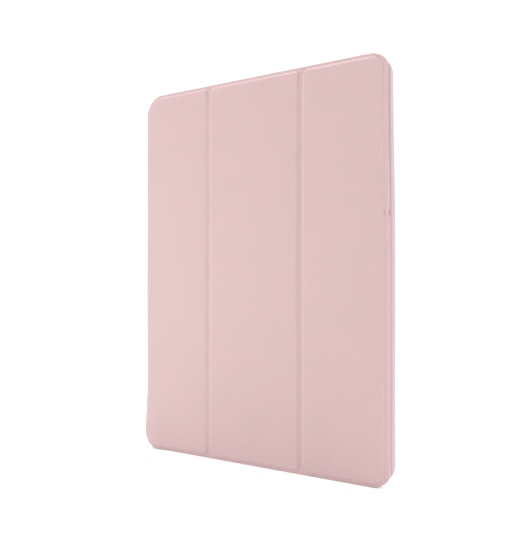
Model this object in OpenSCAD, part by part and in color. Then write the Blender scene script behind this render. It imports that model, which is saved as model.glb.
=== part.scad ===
// Folding tablet case: a soft back shell that holds the tablet, and a three-panel front cover.
// The cover hangs on a spine strip that wraps the shell's right-hand side.
// Frame: X to the right, -Y is the front face, +Z up. Origin under the middle of the case.

/* [Case] */
// Height of the cover, mm
case_h = 284; // [270:1:300]
// Width from the cover's free edge to the outside of the spine, mm
case_w = 220.4; // [205:0.1:235]
// Corner radius of the cover, mm
corner_r = 16; // [12:1:18]

/* [Tablet] */
// Thickness of the tablet that the shell holds, mm
tablet_t = 5.9; // [5.5:0.1:8]
// Room round the tablet inside the shell, mm
tablet_gap = 0.2; // [0.1:0.05:0.4]

/* [Shell] */
// Side wall thickness, mm
wall_t = 1.3; // [1:0.1:1.8]
// Floor thickness, mm
floor_t = 1.2; // [1:0.1:2]
// How far the holding lip reaches over the screen's rim, mm
lip_reach = 1.5; // [1:0.1:2.5]
// Thickness of the holding lip, mm
lip_t = 0.6; // [0.5:0.1:1]
// Rounding of the back edges, mm
back_round = 2.2; // [1.5:0.1:2.4]
// How far the cover reaches past the shell at its free edge, mm
side_overhang = 0.65; // [0.4:0.05:2]
// How far the cover reaches past the shell at the top and the bottom, mm
end_overhang = 0; // [0:0.1:1.5]

/* [Cover] */
// Thickness of the outer skin, mm
skin_t = 0.5; // [0.4:0.1:0.7]
// Thickness of the stiffening boards, mm
board_t = 1.4; // [1.1:0.1:1.8]
// Thickness of the lining, mm
lining_t = 0.4; // [0.3:0.1:0.6]
// Width of the two folding grooves, mm
groove_w = 5; // [4:0.5:7]
// Distance from the free edge to the middle of the first groove, mm
groove_one = 66.7; // [60:0.1:72]
// Distance from the free edge to the middle of the second groove, mm
groove_two = 151.3; // [142:0.1:158]
// Flat margin round the raised panels, mm
margin = 2.2; // [1.8:0.1:3]
// Flat strip between the hinge panel and the front crease, mm
hinge_strip = 3.6; // [3:0.1:5]

/* [Back strip] */
// Width of the strip that is glued to the shell's back, mm
strip_w = 46; // [35:1:60]
// Inset of the strip's ends from the cover's ends, mm
strip_inset = 4; // [3:0.5:8]
// Depth of the recess that takes the strip, mm
strip_recess = 0.5; // [0.3:0.1:0.6]

/* [Openings] */
// Side of the camera window, mm
camera_side = 34; // [28:1:40]
// Corner radius of the camera window, mm
camera_r = 9; // [5:1:12]
// Distance of the camera window's centre from the tablet's edges, mm
camera_in = 24; // [22:1:28]
// Width of the charging port's cut-out, mm
port_w = 14; // [11:1:18]
// Height of the charging port's cut-out, mm
port_h = 4.6; // [4.4:0.1:5]
// Width of each speaker slot, mm
speaker_w = 24; // [18:1:26]
// Height of each speaker slot, mm
speaker_h = 2.6; // [2:0.1:3.4]
// Distance of the speaker slots' centres from the middle of the edge, mm
speaker_out = 56; // [50:1:58]

/* [Buttons] */
// Length of the power button, mm
power_len = 13; // [10:1:16]
// Length of each volume button, mm
volume_len = 12; // [10:1:14]
// Width of the buttons, mm
button_w = 3; // [2.4:0.1:3.4]
// How far the buttons stand out of the wall, mm
button_out = 0.8; // [0.5:0.1:1]
// Gap between a button and the wall round it, mm
button_gap = 0.35; // [0.2:0.05:0.5]
// Distance of the power button's centre from the tablet's free side, mm
power_in = 27; // [24:1:34]
// Distance of the upper volume button's centre from the tablet's top, mm
volume_in = 34; // [30:1:40]
// Distance between the two volume buttons' centres, mm
volume_pitch = 16; // [14:1:20]

/* [Magnets] */
// Number of closing magnets along the free edge
magnet_count = 6; // [4:1:8]
// Length of a closing magnet, mm
magnet_len = 14; // [8:1:18]
// Width of a closing magnet, mm
magnet_w = 4; // [3:0.5:5]
// Thickness of the magnets, mm
magnet_t = 1; // [0.8:0.1:1.1]
// Spacing of the closing magnets, mm
magnet_pitch = 40; // [30:1:44]
// Length of the steel catch plate in the hinge panel, mm
catch_len = 220; // [180:1:230]
// Width of the steel catch plate, mm
catch_w = 9; // [7:0.5:12]
// Thickness of the steel catch plate, mm
catch_t = 0.5; // [0.4:0.1:0.6]

/* [Hidden] */
$fn = 64;
CUT = 0.01;
GAP = 0.2;
WRAP = 2.6;
BACK_WRAP = 0.5;
GLUE_T = 0.1;
STRIP_CORNER_R = 6;
SPINE_BOARD_T = 0.7;
CREASE_REACH = 2.4;
FOLD_R_OUTER = 4;
FOLD_R_INNER = 2;
WAKE_R = 3;

PINK = [0.88, 0.74, 0.74];
LINING_PINK = [0.85, 0.72, 0.72];
FROST = [0.90, 0.84, 0.85, 0.8];
BOARD = [0.62, 0.60, 0.57];
STEEL = [0.70, 0.70, 0.72];

// Depths are measured from the middle of the case's thickness, positive towards the front.
case_t = strip_recess_out() + floor_t + tablet_t + lip_t + GAP + lining_t + board_t + skin_t;
face_t = case_t / 2;
skin_under_t = face_t - skin_t - board_t;
flat_t = skin_under_t + skin_t;
board_top_t = face_t - skin_t;
lining_under_t = skin_under_t - lining_t;
lip_front_t = lining_under_t - GAP;
lip_back_t = lip_front_t - lip_t;
floor_top_t = lip_back_t - tablet_t;
shell_back_t = floor_top_t - floor_t;
back_t = -case_t / 2;
port_mid_t = (lip_back_t + floor_top_t) / 2;

free_x = -case_w / 2;
spine_out_x = case_w / 2;
spine_lining_x = spine_out_x - skin_t - SPINE_BOARD_T - lining_t;
spine_board_x = spine_lining_x + lining_t;
spine_skin_x = spine_board_x + SPINE_BOARD_T;
crease_x = spine_out_x - skin_t;
crease_start_x = crease_x - CREASE_REACH;
fold_one_x = free_x + groove_one;
fold_two_x = free_x + groove_two;

shell_right_x = spine_lining_x - 0.25;
shell_left_x = free_x + side_overhang;
shell_low_z = end_overhang;
shell_high_z = case_h - end_overhang;
cavity_left_x = shell_left_x + wall_t;
cavity_right_x = shell_right_x - wall_t;
cavity_low_z = shell_low_z + wall_t;
cavity_high_z = shell_high_z - wall_t;
cavity_r = corner_r + 1;
cavity_mid_x = (cavity_left_x + cavity_right_x) / 2;

// Hinge lines, as [x, depth]
front_axis = [crease_x - skin_t / 4, skin_under_t];
back_axis = [crease_x, back_t + skin_t];
spine_front_t = front_axis[1] - 0.9;
spine_back_t = back_axis[1] + 0.9;
spine_front_z = corner_r / 2;
spine_back_z = corner_r * 0.8;

camera_x = cavity_left_x + tablet_gap + camera_in;
camera_z = cavity_high_z - tablet_gap - camera_in;
power_x = cavity_left_x + tablet_gap + power_in;
volume_up_z = cavity_high_z - tablet_gap - volume_in;
volume_down_z = volume_up_z - volume_pitch;
button_depth = wall_t + button_out;

function strip_recess_out() = skin_t + GLUE_T - strip_recess;

// Turns a shape drawn lying on its back, with its front face up, to the standing case.
module upright() rotate([90, 0, 0]) children();

module between(low_t, high_t) translate([0, 0, low_t]) linear_extrude(high_t - low_t) children();

// Rounded rectangle between two corners
module plate(x0, x1, y0, y1, r) {
    translate([x0 + r, y0]) square([x1 - x0 - 2 * r, y1 - y0]);
    translate([x0, y0 + r]) square([x1 - x0, y1 - y0 - 2 * r]);
    for (x = [x0 + r, x1 - r], y = [y0 + r, y1 - r]) translate([x, y]) circle(r);
}

module band(x0, x1) translate([x0, -case_h]) square([x1 - x0, 3 * case_h]);

// ---- Cover panels ----

// The cover's flat outline, with its right-hand corners carried on past the front crease
module cover_outline(inset = 0) {
    plate(free_x + inset, crease_x + WRAP - inset, inset, case_h - inset, corner_r - inset);
}

module panel_outline(x0, x1) intersection() {
    cover_outline();
    band(x0, x1);
}

// The raised field of a panel: its left-hand corners are rounder than its right-hand ones
module field(x0, x1, shrink) {
    mid_x = (x0 + x1) / 2;
    low = margin + shrink;
    high = case_h - margin - shrink;
    intersection() {
        cover_outline(margin + shrink);
        union() {
            intersection() {
                plate(x0 + shrink, x1 - shrink, low, high, FOLD_R_OUTER - shrink);
                band(x0, mid_x);
            }
            intersection() {
                plate(x0 + shrink, x1 - shrink, low, high, FOLD_R_INNER - shrink);
                band(mid_x, x1);
            }
        }
    }
}

// Outer skin, drawn over the board and pressed flat round it
module panel_skin(x0, x1, field_x0, field_x1) color(PINK) upright() difference() {
    union() {
        between(skin_under_t, flat_t) panel_outline(x0, x1);
        between(skin_under_t, face_t) field(field_x0, field_x1, 0);
    }
    between(skin_under_t - 1, board_top_t) field(field_x0, field_x1, skin_t);
}

module panel_board(field_x0, field_x1) between(skin_under_t, board_top_t) field(field_x0, field_x1, skin_t);

module panel_lining(x0, x1) color(LINING_PINK) upright()
    between(lining_under_t, skin_under_t) panel_outline(x0, x1);

free_field = [free_x + margin, fold_one_x - groove_w / 2];
middle_field = [fold_one_x + groove_w / 2, fold_two_x - groove_w / 2];
hinge_field = [fold_two_x + groove_w / 2, crease_x - hinge_strip];

module free_panel_skin() panel_skin(free_x, free_field[1], free_field[0], free_field[1]);

module free_panel_board() color(BOARD) upright() difference() {
    panel_board(free_field[0], free_field[1]);
    magnet_blocks();
    wake_disc();
}

module free_panel_lining() panel_lining(free_x, free_field[1]);

module middle_panel_skin() panel_skin(middle_field[0], middle_field[1], middle_field[0], middle_field[1]);

module middle_panel_board() color(BOARD) upright() panel_board(middle_field[0], middle_field[1]);

module middle_panel_lining() panel_lining(middle_field[0], middle_field[1]);

module hinge_panel_skin() panel_skin(hinge_field[0], crease_start_x, hinge_field[0], hinge_field[1]);

module hinge_panel_board() color(BOARD) upright() difference() {
    panel_board(hinge_field[0], hinge_field[1]);
    catch_strip();
}

module hinge_panel_lining() panel_lining(hinge_field[0], crease_start_x);

// ---- Magnets and the plate that they hold in the stand position ----

module magnet_blocks() {
    first_z = case_h / 2 - magnet_pitch * (magnet_count - 1) / 2;
    for (i = [0 : magnet_count - 1])
        translate([free_field[0] + 3, first_z + i * magnet_pitch - magnet_len / 2, skin_under_t])
            cube([magnet_w, magnet_len, magnet_t]);
}

module closing_magnets() color(STEEL) upright() magnet_blocks();

module wake_disc() translate([free_field[0] + 16, case_h / 2 + magnet_pitch / 2, skin_under_t])
    cylinder(h = magnet_t, r = WAKE_R);

module wake_magnet() color(STEEL) upright() wake_disc();

module catch_strip() translate([hinge_field[1] - catch_w - 3, (case_h - catch_len) / 2, skin_under_t])
    cube([catch_w, catch_len, catch_t]);

module catch_plate() color(STEEL) upright() catch_strip();

// ---- Folding strips ----

module fold_strip(x, low_t, high_t) upright()
    between(low_t, high_t) panel_outline(x - groove_w / 2, x + groove_w / 2);

module fold_one_skin() color(PINK) fold_strip(fold_one_x, skin_under_t, flat_t);

module fold_one_lining() color(LINING_PINK) fold_strip(fold_one_x, lining_under_t, skin_under_t);

module fold_two_skin() color(PINK) fold_strip(fold_two_x, skin_under_t, flat_t);

module fold_two_lining() color(LINING_PINK) fold_strip(fold_two_x, lining_under_t, skin_under_t);

// An angle strip along a crease: x runs inwards from the corner, y along the spine
module crease_angle(reach, depth, leg_x, leg_t, low_z) {
    translate([0, case_h - low_z, 0]) rotate([90, 0, 0]) linear_extrude(case_h - 2 * low_z) {
        translate([-reach, -leg_t]) square([reach, leg_t]);
        translate([-leg_x, -depth]) square([leg_x, depth]);
    }
}

module front_crease_skin() color(PINK) upright() translate([spine_out_x, 0, flat_t])
    crease_angle(spine_out_x - crease_start_x, flat_t - spine_front_t, skin_t, skin_t, spine_front_z);

module front_crease_lining() color(LINING_PINK) upright() translate([spine_board_x, 0, skin_under_t])
    crease_angle(spine_board_x - crease_start_x, skin_under_t - spine_front_t, lining_t, lining_t, spine_front_z);

module back_crease_skin() color(PINK) upright() translate([spine_out_x, 0, back_t]) mirror([0, 0, 1])
    crease_angle(spine_out_x - crease_start_x, spine_back_t - back_t, skin_t, skin_t, spine_back_z);

// ---- Spine ----

// The spine seen from its side: a long strip whose ends slant down to the front
module spine_outline(shrink) {
    low_u = flat_t - spine_front_t + shrink;
    high_u = flat_t - spine_back_t - shrink;
    front_z = spine_front_z + shrink;
    back_z = spine_back_z + shrink;
    polygon([
        [low_u, front_z], [high_u, back_z],
        [high_u, case_h - back_z], [low_u, case_h - front_z]
    ]);
}

module spine_layer(x0, thick, shrink) upright() translate([x0, 0, flat_t]) rotate([0, 90, 0])
    linear_extrude(thick) spine_outline(shrink);

module spine_skin() color(PINK) spine_layer(spine_skin_x, skin_t, 0);

module spine_board() color(BOARD) spine_layer(spine_board_x, SPINE_BOARD_T, 0.4);

module spine_lining() color(LINING_PINK) spine_layer(spine_lining_x, lining_t, 0);

// ---- Back strip ----

module strip_outline(shrink, x1) intersection() {
    union() {
        intersection() {
            plate(crease_x - strip_w + shrink, crease_x + BACK_WRAP, strip_inset + shrink,
                case_h - strip_inset - shrink, corner_r - strip_inset - shrink);
            band(crease_x - strip_w / 2, x1);
        }
        intersection() {
            plate(crease_x - strip_w + shrink, crease_x + BACK_WRAP, strip_inset + shrink,
                case_h - strip_inset - shrink, STRIP_CORNER_R);
            band(crease_x - strip_w, crease_x - strip_w / 2);
        }
    }
    band(crease_x - strip_w, x1);
}

module back_strip_skin() color(PINK) upright()
    between(back_t, back_t + skin_t) strip_outline(0, crease_start_x);

module back_strip_glue() color(FROST) upright()
    between(back_t + skin_t, back_t + skin_t + GLUE_T) strip_outline(0.5, crease_start_x - 2 * back_round);

// ---- Back shell ----

// Section of the side wall: d runs outwards from the cavity's wall, t towards the front
module wall_section() {
    arc_d = wall_t - back_round;
    arc_t = shell_back_t + back_round;
    polygon(concat(
        [[-4, shell_back_t]],
        [for (a = [-90 : 15 : 0]) [arc_d + back_round * cos(a), arc_t + back_round * sin(a)]],
        [
            [wall_t, lip_front_t - 0.5], [wall_t - 0.5, lip_front_t], [-lip_reach, lip_front_t],
            [-lip_reach, lip_back_t], [0, lip_back_t], [0, floor_top_t], [-4, floor_top_t]
        ]
    ));
}

// A straight length of side wall that runs along X, with its outside towards +Y
module wall_run(length) rotate([90, 0, 90]) linear_extrude(length) wall_section();

module wall_corner() rotate_extrude(angle = 90) translate([cavity_r, 0]) wall_section();

module shell_rim() {
    run_x = cavity_right_x - cavity_left_x - 2 * cavity_r;
    run_z = cavity_high_z - cavity_low_z - 2 * cavity_r;
    left_x = cavity_left_x + cavity_r;
    right_x = cavity_right_x - cavity_r;
    low_z = cavity_low_z + cavity_r;
    high_z = cavity_high_z - cavity_r;
    translate([left_x, cavity_high_z, 0]) wall_run(run_x);
    translate([right_x, cavity_low_z, 0]) rotate([0, 0, 180]) wall_run(run_x);
    translate([cavity_left_x, low_z, 0]) rotate([0, 0, 90]) wall_run(run_z);
    translate([cavity_right_x, high_z, 0]) rotate([0, 0, -90]) wall_run(run_z);
    translate([right_x, high_z, 0]) wall_corner();
    translate([left_x, high_z, 0]) rotate([0, 0, 90]) wall_corner();
    translate([left_x, low_z, 0]) rotate([0, 0, 180]) wall_corner();
    translate([right_x, low_z, 0]) rotate([0, 0, 270]) wall_corner();
}

module shell_floor() between(shell_back_t, floor_top_t)
    plate(cavity_left_x + 3, cavity_right_x - 3, cavity_low_z + 3, cavity_high_z - 3, cavity_r - 3);

module camera_window() between(shell_back_t - 1, floor_top_t + 1)
    plate(camera_x - camera_side / 2, camera_x + camera_side / 2,
        camera_z - camera_side / 2, camera_z + camera_side / 2, camera_r);

// A slot with round ends through an end wall, centred on x
module end_slot(x, z, width, height) translate([x, z, port_mid_t]) rotate([90, 0, 0])
    linear_extrude(3 * wall_t, center = true)
        plate(-width / 2, width / 2, -height / 2, height / 2, height / 2 - CUT);

module button_shape(length, grow) plate(-length / 2 - grow, length / 2 + grow,
    -button_w / 2 - grow, button_w / 2 + grow, button_w / 2 + grow - CUT);

// Places a shape drawn on a wall's face at a button: on the top wall, or on the free side's wall
module on_top() translate([power_x, cavity_high_z, port_mid_t]) rotate([-90, 0, 0]) children();

module on_side(z) translate([cavity_left_x, z, port_mid_t]) rotate([0, -90, 0]) rotate([0, 0, 90]) children();

module button_window(length) translate([0, 0, -wall_t])
    linear_extrude(3 * wall_t) button_shape(length, button_gap);

module back_shell() color(FROST) upright() difference() {
    union() {
        shell_rim();
        shell_floor();
    }
    between(shell_back_t - 1, shell_back_t + strip_recess) strip_outline(-0.3, spine_out_x);
    camera_window();
    end_slot(cavity_mid_x, cavity_low_z - wall_t / 2, port_w, port_h);
    for (side = [-1, 1], z = [cavity_low_z - wall_t / 2, cavity_high_z + wall_t / 2])
        end_slot(cavity_mid_x + side * speaker_out, z, speaker_w, speaker_h);
    on_top() button_window(power_len);
    on_side(volume_up_z) button_window(volume_len);
    on_side(volume_down_z) button_window(volume_len);
}

// A button: a plate level with the wall's inside and a slightly smaller raised pad
module button(length) {
    linear_extrude(wall_t) button_shape(length, 0);
    linear_extrude(button_depth) button_shape(length - 0.6, -0.3);
}

module power_button() color(FROST) upright() on_top() button(power_len);

module volume_up_button() color(FROST) upright() on_side(volume_up_z) button(volume_len);

module volume_down_button() color(FROST) upright() on_side(volume_down_z) button(volume_len);

back_shell();
back_strip_skin();
back_strip_glue();
back_crease_skin();
power_button();
volume_up_button();
volume_down_button();
spine_skin();
spine_board();
spine_lining();
front_crease_skin();
front_crease_lining();
hinge_panel_skin();
hinge_panel_board();
hinge_panel_lining();
catch_plate();
fold_two_skin();
fold_two_lining();
middle_panel_skin();
middle_panel_board();
middle_panel_lining();
fold_one_skin();
fold_one_lining();
free_panel_skin();
free_panel_board();
free_panel_lining();
closing_magnets();
wake_magnet();
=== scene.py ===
"""Looks of a folding tablet case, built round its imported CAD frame. Lengths are in mm until a mesh is made.

Points are (x, h, z): x to the right, h towards the front cover, z up.
"""

import math

import bmesh
import bpy
import numpy as np
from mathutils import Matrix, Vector


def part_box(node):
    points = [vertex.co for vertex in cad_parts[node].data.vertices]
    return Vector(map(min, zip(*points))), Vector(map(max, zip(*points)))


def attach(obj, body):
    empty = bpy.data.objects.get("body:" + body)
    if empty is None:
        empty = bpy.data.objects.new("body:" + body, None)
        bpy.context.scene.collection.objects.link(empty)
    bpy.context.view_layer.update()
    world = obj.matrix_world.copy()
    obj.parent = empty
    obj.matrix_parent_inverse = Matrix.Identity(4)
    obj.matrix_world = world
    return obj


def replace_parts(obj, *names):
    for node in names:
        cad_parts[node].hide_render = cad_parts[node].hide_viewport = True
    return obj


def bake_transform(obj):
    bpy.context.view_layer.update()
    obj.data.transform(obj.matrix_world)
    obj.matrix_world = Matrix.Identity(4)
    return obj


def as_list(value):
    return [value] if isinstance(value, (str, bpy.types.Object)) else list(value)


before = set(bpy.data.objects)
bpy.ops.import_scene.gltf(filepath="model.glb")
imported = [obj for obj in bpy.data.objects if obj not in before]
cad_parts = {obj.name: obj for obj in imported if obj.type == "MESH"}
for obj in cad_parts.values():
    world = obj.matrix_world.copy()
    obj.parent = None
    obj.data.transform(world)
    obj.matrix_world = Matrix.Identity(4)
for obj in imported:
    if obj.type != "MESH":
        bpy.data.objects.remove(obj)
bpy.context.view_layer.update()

MM = 0.001


def span(node):
    """(x0, x1, h0, h1, z0, z1) of a CAD node in mm."""
    low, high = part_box(node)
    return (low.x / MM, high.x / MM, -high.y / MM, -low.y / MM, low.z / MM, high.z / MM)


# ---- Sizes taken from the frame ----
FREE_X, _, UNDER, FACE, _, CASE_H = span("free_panel_skin")
FOLD_ONE = sum(span("fold_one_skin")[:2]) / 2
FOLD_TWO = sum(span("fold_two_skin")[:2]) / 2
FLAT = span("fold_one_skin")[3]
LINING_UNDER = span("middle_panel_lining")[2]
CREASE_START = span("hinge_panel_skin")[1]
_, OUT, SPINE_BACK, SPINE_FRONT, _, _ = span("spine_skin")
CREASE = OUT - 0.5
STRIP_X, _, BACK, _, _, _ = span("back_strip_skin")

CORNER_R = 16.0
# Centre of the rounding at the spine side's corners
CORNER_X = CREASE - 13.4
# From the cover's cut edge, and from the crease, to the raised fields
MARGIN = 2.85
HINGE_STRIP = 3.6
# From a fold's middle line to the raised field on each side of it
LEFT_GROOVE, RIGHT_GROOVE = 1.75, 2.45
# Half the width of the strip that bends at a fold
SEAM = 1.25
SKIN_T = 0.5
LINING_T = 0.34
# Inset of the lining from the cut edge of the skin
LINING_INSET = 0.35
# How far a field's bevel reaches out from its border, in at its edges, and in beside a groove
BEVEL_OUT, BEVEL_IN, GROOVE_IN = 1.15, 1.0, 1.5
# Keeps pieces that lie on each other just apart
GAP = 0.01

SHELL_X0, SHELL_X1, SHELL_BACK, SHELL_FRONT, SHELL_Z0, SHELL_Z1 = span("back_shell")
WALL = 1.3
CAVITY = (SHELL_X0 + WALL, SHELL_X1 - WALL, SHELL_Z0 + WALL, SHELL_Z1 - WALL)
CAVITY_R = CORNER_R + 1
FLOOR_TOP = SHELL_BACK + 1.2
LIP_BACK = SHELL_FRONT - 0.6
# Middle of the wall's openings, between floor and lip
PORT_H = (FLOOR_TOP + LIP_BACK) / 2

# What use has done: the height of the nip in the front crease, the lower free corner's lift, the lean
PINCH_Z = 178.6
LIFT = 3.0
LEAN = 0.95


# ---- Small maths ----
def smooth(t):
    """Eases from 0 to 1."""
    t = np.clip(t, 0.0, 1.0)
    return t * t * (3 - 2 * t)


def bump(t):
    """A bell curve of height 1."""
    return np.exp(-t * t)


def box_distance(x, z, x0, x1, z0, z1, left_r, right_r):
    """Distance from a rounded rectangle's border, negative inside."""
    px, pz = x - (x0 + x1) / 2, z - (z0 + z1) / 2
    r = np.where(px < 0, left_r, right_r)
    qx = np.abs(px) - (x1 - x0) / 2 + r
    qz = np.abs(pz) - (z1 - z0) / 2 + r
    outside = np.hypot(np.maximum(qx, 0), np.maximum(qz, 0))
    return np.minimum(np.maximum(qx, qz), 0) + outside - r


def edge_distance(x, z):
    """How far inside the cover's cut edge a point lies."""
    return -box_distance(x, z, FREE_X, CORNER_X + CORNER_R, 0, CASE_H, CORNER_R, CORNER_R)


def edge_drop(d):
    """How far the skin's face falls towards its cut edge."""
    near = np.clip(1 - d / 0.55, 0, 1)
    return 0.42 * (1 - np.sqrt(1 - 0.96 * near * near)) + 0.16 * smooth(1 - d / 1.7)


def lean(p):
    """The case narrows slightly towards the top of its spine side."""
    q = p.copy()
    side = smooth((p[:, 0] - 55) / 50)
    depth = np.clip((4 - p[:, 1]) / 9, 0, 1)
    q[:, 0] -= (LEAN + 0.35 * depth) * smooth((p[:, 2] - 158) / 110) * side
    return q


def settle(p):
    """What use has done to the cover: a lifted lower corner, a lean and a pinch in the front crease."""
    q = lean(p)
    x, h, z = p[:, 0], p[:, 1], p[:, 2]
    q[:, 1] += LIFT * smooth(1 - (x - FREE_X) / 32) * smooth(1 - z / 50)
    q[:, 1] += 0.22 * np.sin((x + 30) / 60) * np.sin(z / 75) * smooth(edge_distance(x, z) / 20)
    front = smooth((h - 1.6) / 1.4)
    q[:, 0] -= 0.75 * pinch(z) * front * bump((x - CREASE) / 1.2)
    q[:, 1] -= 0.35 * pinch(z) * front * bump((x - CREASE + 2.4) / 0.7)
    return q


def pinch(z):
    """Where along its height the front crease is nipped in."""
    return np.exp(-((z - PINCH_Z) / 2.1) ** 4)


def base_level(x, z):
    """Height of the leather between the raised fields: shallower grooves away from the cover's ends."""
    inside = smooth((np.minimum(z, CASE_H - z) - 2.5) / 9)
    depths = np.interp(x, (FREE_X + 20, FOLD_ONE, FOLD_TWO, CREASE - HINGE_STRIP), (0.0, 0.7, 0.4, 1.0))
    return FLAT + depths * inside + 0.4 * smooth((12 - z) / 10) * (1 - inside)


# ---- Meshes ----
def to_frame(p):
    """The same points in the frame's metres and axes."""
    return np.stack([p[:, 0], -p[:, 1], p[:, 2]], 1) * MM


def make(name, points, faces, material, marks=None, sharp_deg=40.0):
    """A closed mesh object from points in mm, with outward normals and marked sharp edges."""
    mesh = bpy.data.meshes.new(name)
    mesh.from_pydata(to_frame(points).tolist(), [], faces)
    for key, values in (marks or {}).items():
        attribute = mesh.attributes.new(key, "FLOAT", "POINT")
        attribute.data.foreach_set("value", np.asarray(values, np.float32))
    bm = bmesh.new()
    bm.from_mesh(mesh)
    bmesh.ops.remove_doubles(bm, verts=bm.verts, dist=2e-7)
    bmesh.ops.dissolve_degenerate(bm, edges=bm.edges, dist=1e-7)
    bmesh.ops.recalc_face_normals(bm, faces=bm.faces)
    finish_edges(bm, sharp_deg)
    bm.to_mesh(mesh)
    bm.free()
    mesh.materials.append(material)
    obj = bpy.data.objects.new(name, mesh)
    bpy.context.scene.collection.objects.link(obj)
    return obj


def finish_edges(bm, sharp_deg):
    """Smooth faces, with sharp edges where two faces meet at more than sharp_deg."""
    limit = math.radians(sharp_deg)
    for f in bm.faces:
        f.smooth = True
    for e in bm.edges:
        e.smooth = not (len(e.link_faces) == 2 and e.calc_face_angle(0) > limit)


def loft_faces(count, size):
    """Faces that join count loops of size points one after another."""
    faces = []
    for i in range(count - 1):
        a, b = i * size, (i + 1) * size
        for k in range(size):
            n = (k + 1) % size
            faces.append((a + k, a + n, b + n, b + k))
    return faces


def slab(outer, inner):
    """Points and faces of a closed sheet between two grids of points of the same size."""
    nu, nv = outer.shape[:2]
    points = np.concatenate([outer.reshape(-1, 3), inner.reshape(-1, 3)])

    def at(side, i, j):
        return side * nu * nv + i * nv + j

    faces = []
    for i in range(nu - 1):
        for j in range(nv - 1):
            for side in (0, 1):
                faces.append(tuple(at(side, *c) for c in ((i, j), (i + 1, j), (i + 1, j + 1), (i, j + 1))))
    rim = [(i, 0) for i in range(nu)] + [(nu - 1, j) for j in range(1, nv)]
    rim += [(i, nv - 1) for i in range(nu - 2, -1, -1)] + [(0, j) for j in range(nv - 2, 0, -1)]
    for a, b in zip(rim, rim[1:] + rim[:1]):
        faces.append((at(0, *a), at(0, *b), at(1, *b), at(1, *a)))
    return points, faces


# Points round each corner of a loop
CORNER_POINTS = 11


def ring(x0, x1, z0, z1, left_r, right_r, side, flat=7, square=(), clip=90.0):
    """A closed loop of (x, z) round a rectangle from its lower right corner, anticlockwise.

    side: the shares of the height at which the long sides have points. flat: how many points the short sides
    have. square: the sides, "left" or "right", whose corners are square. clip: how far round the right-hand
    corners turn, in degrees.
    """
    points = []

    def corner(cx, cz, r, start, end, is_square):
        for a in np.radians(np.linspace(start, end, CORNER_POINTS)):
            c, s = math.cos(a), math.sin(a)
            k = r / max(abs(c), abs(s)) if is_square else r
            points.append((cx + k * c, cz + k * s))

    def straight(a, b, shares):
        for t in shares:
            points.append((a[0] + (b[0] - a[0]) * t, a[1] + (b[1] - a[1]) * t))

    right, left = "right" in square, "left" in square
    top = np.linspace(0, 1, flat + 2)[1:-1]
    cx = x1 - right_r * math.sin(math.radians(clip))
    corner(cx, z0 + right_r, right_r, -90, clip - 90, right)
    low = points[-1]
    straight(low, (low[0], z0 + z1 - low[1]), side)
    corner(cx, z1 - right_r, right_r, 90 - clip, 90, right)
    straight(points[-1], (x0 + left_r, z1), top)
    corner(x0 + left_r, z1 - left_r, left_r, 90, 180, left)
    straight(points[-1], (x0, z0 + left_r), 1 - side[::-1])
    corner(x0 + left_r, z0 + left_r, left_r, 180, 270, left)
    straight(points[-1], (cx, z0), top)
    return np.array(points)


def collapse(loop):
    """The same loop drawn in to the line down its middle."""
    x0, x1 = loop[:, 0].min(), loop[:, 0].max()
    z0, z1 = loop[:, 1].min(), loop[:, 1].max()
    half = (x1 - x0) / 2
    return np.stack([np.full(len(loop), (x0 + x1) / 2), np.clip(loop[:, 1], z0 + half, z1 - half)], 1)


def closed_loft(loops):
    """Points and faces through loops of (x, h, z), each end closed to the line down its middle."""
    loops = list(loops)
    for first, where in ((loops[0], 0), (loops[-1], len(loops) + 1)):
        flat = collapse(first[:, [0, 2]])
        loops.insert(where, np.stack([flat[:, 0], first[:, 1], flat[:, 1]], 1))
    return np.concatenate(loops), loft_faces(len(loops), len(loops[0]))


def sheet_between(loops, outer, inner, bend, marks):
    """Points, faces and marks of a closed sheet over plan loops, from its edge in to its middle line."""
    xz = np.concatenate(loops)
    top = bend(np.stack([xz[:, 0], outer(xz[:, 0], xz[:, 1]), xz[:, 1]], 1))
    low = bend(np.stack([xz[:, 0], inner(xz[:, 0], xz[:, 1]), xz[:, 1]], 1))
    size, count = len(loops[0]), len(loops)
    order = [top[i * size:(i + 1) * size] for i in range(count - 1, -1, -1)]
    order += [low[i * size:(i + 1) * size] for i in range(count)]
    plan = np.concatenate(loops[::-1] + loops)
    values = {k: f(plan[:, 0], plan[:, 1]) for k, f in marks.items()}
    return np.concatenate(order), loft_faces(2 * count, size), values


# ---- Materials ----
def node(tree, kind, inputs=None, **props):
    """A new node whose inputs are values or other nodes' sockets."""
    made = tree.nodes.new(kind)
    for key, value in props.items():
        setattr(made, key, value)
    for key, value in (inputs or {}).items():
        if isinstance(value, bpy.types.NodeSocket):
            tree.links.new(value, made.inputs[key])
        else:
            made.inputs[key].default_value = value
    return made


def start_material(name, roughness, specular=0.5, **sockets):
    """A new material, its node tree, its shader and its object coordinates."""
    material = bpy.data.materials.new(name)
    material.use_nodes = True
    tree = material.node_tree
    shader = tree.nodes["Principled BSDF"]
    shader.inputs["Roughness"].default_value = roughness
    shader.inputs["Specular IOR Level"].default_value = specular
    for key, value in sockets.items():
        shader.inputs[key.replace("_", " ")].default_value = value
    coords = tree.nodes.new("ShaderNodeTexCoord").outputs["Object"]
    return material, tree, shader, coords


def mix_colour(tree, factor, a, b):
    made = node(tree, "ShaderNodeMix", {0: factor}, data_type="RGBA")
    for index, value in ((6, a), (7, b)):
        if isinstance(value, bpy.types.NodeSocket):
            tree.links.new(value, made.inputs[index])
        else:
            made.inputs[index].default_value = (*value, 1)
    return made.outputs[2]


def remap(tree, value, low, high, to_low, to_high):
    """A value from low to high, carried over to the range from to_low to to_high."""
    made = node(tree, "ShaderNodeMapRange", {0: value, 1: low, 2: high, 3: to_low, 4: to_high})
    return made.outputs[0]


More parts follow.
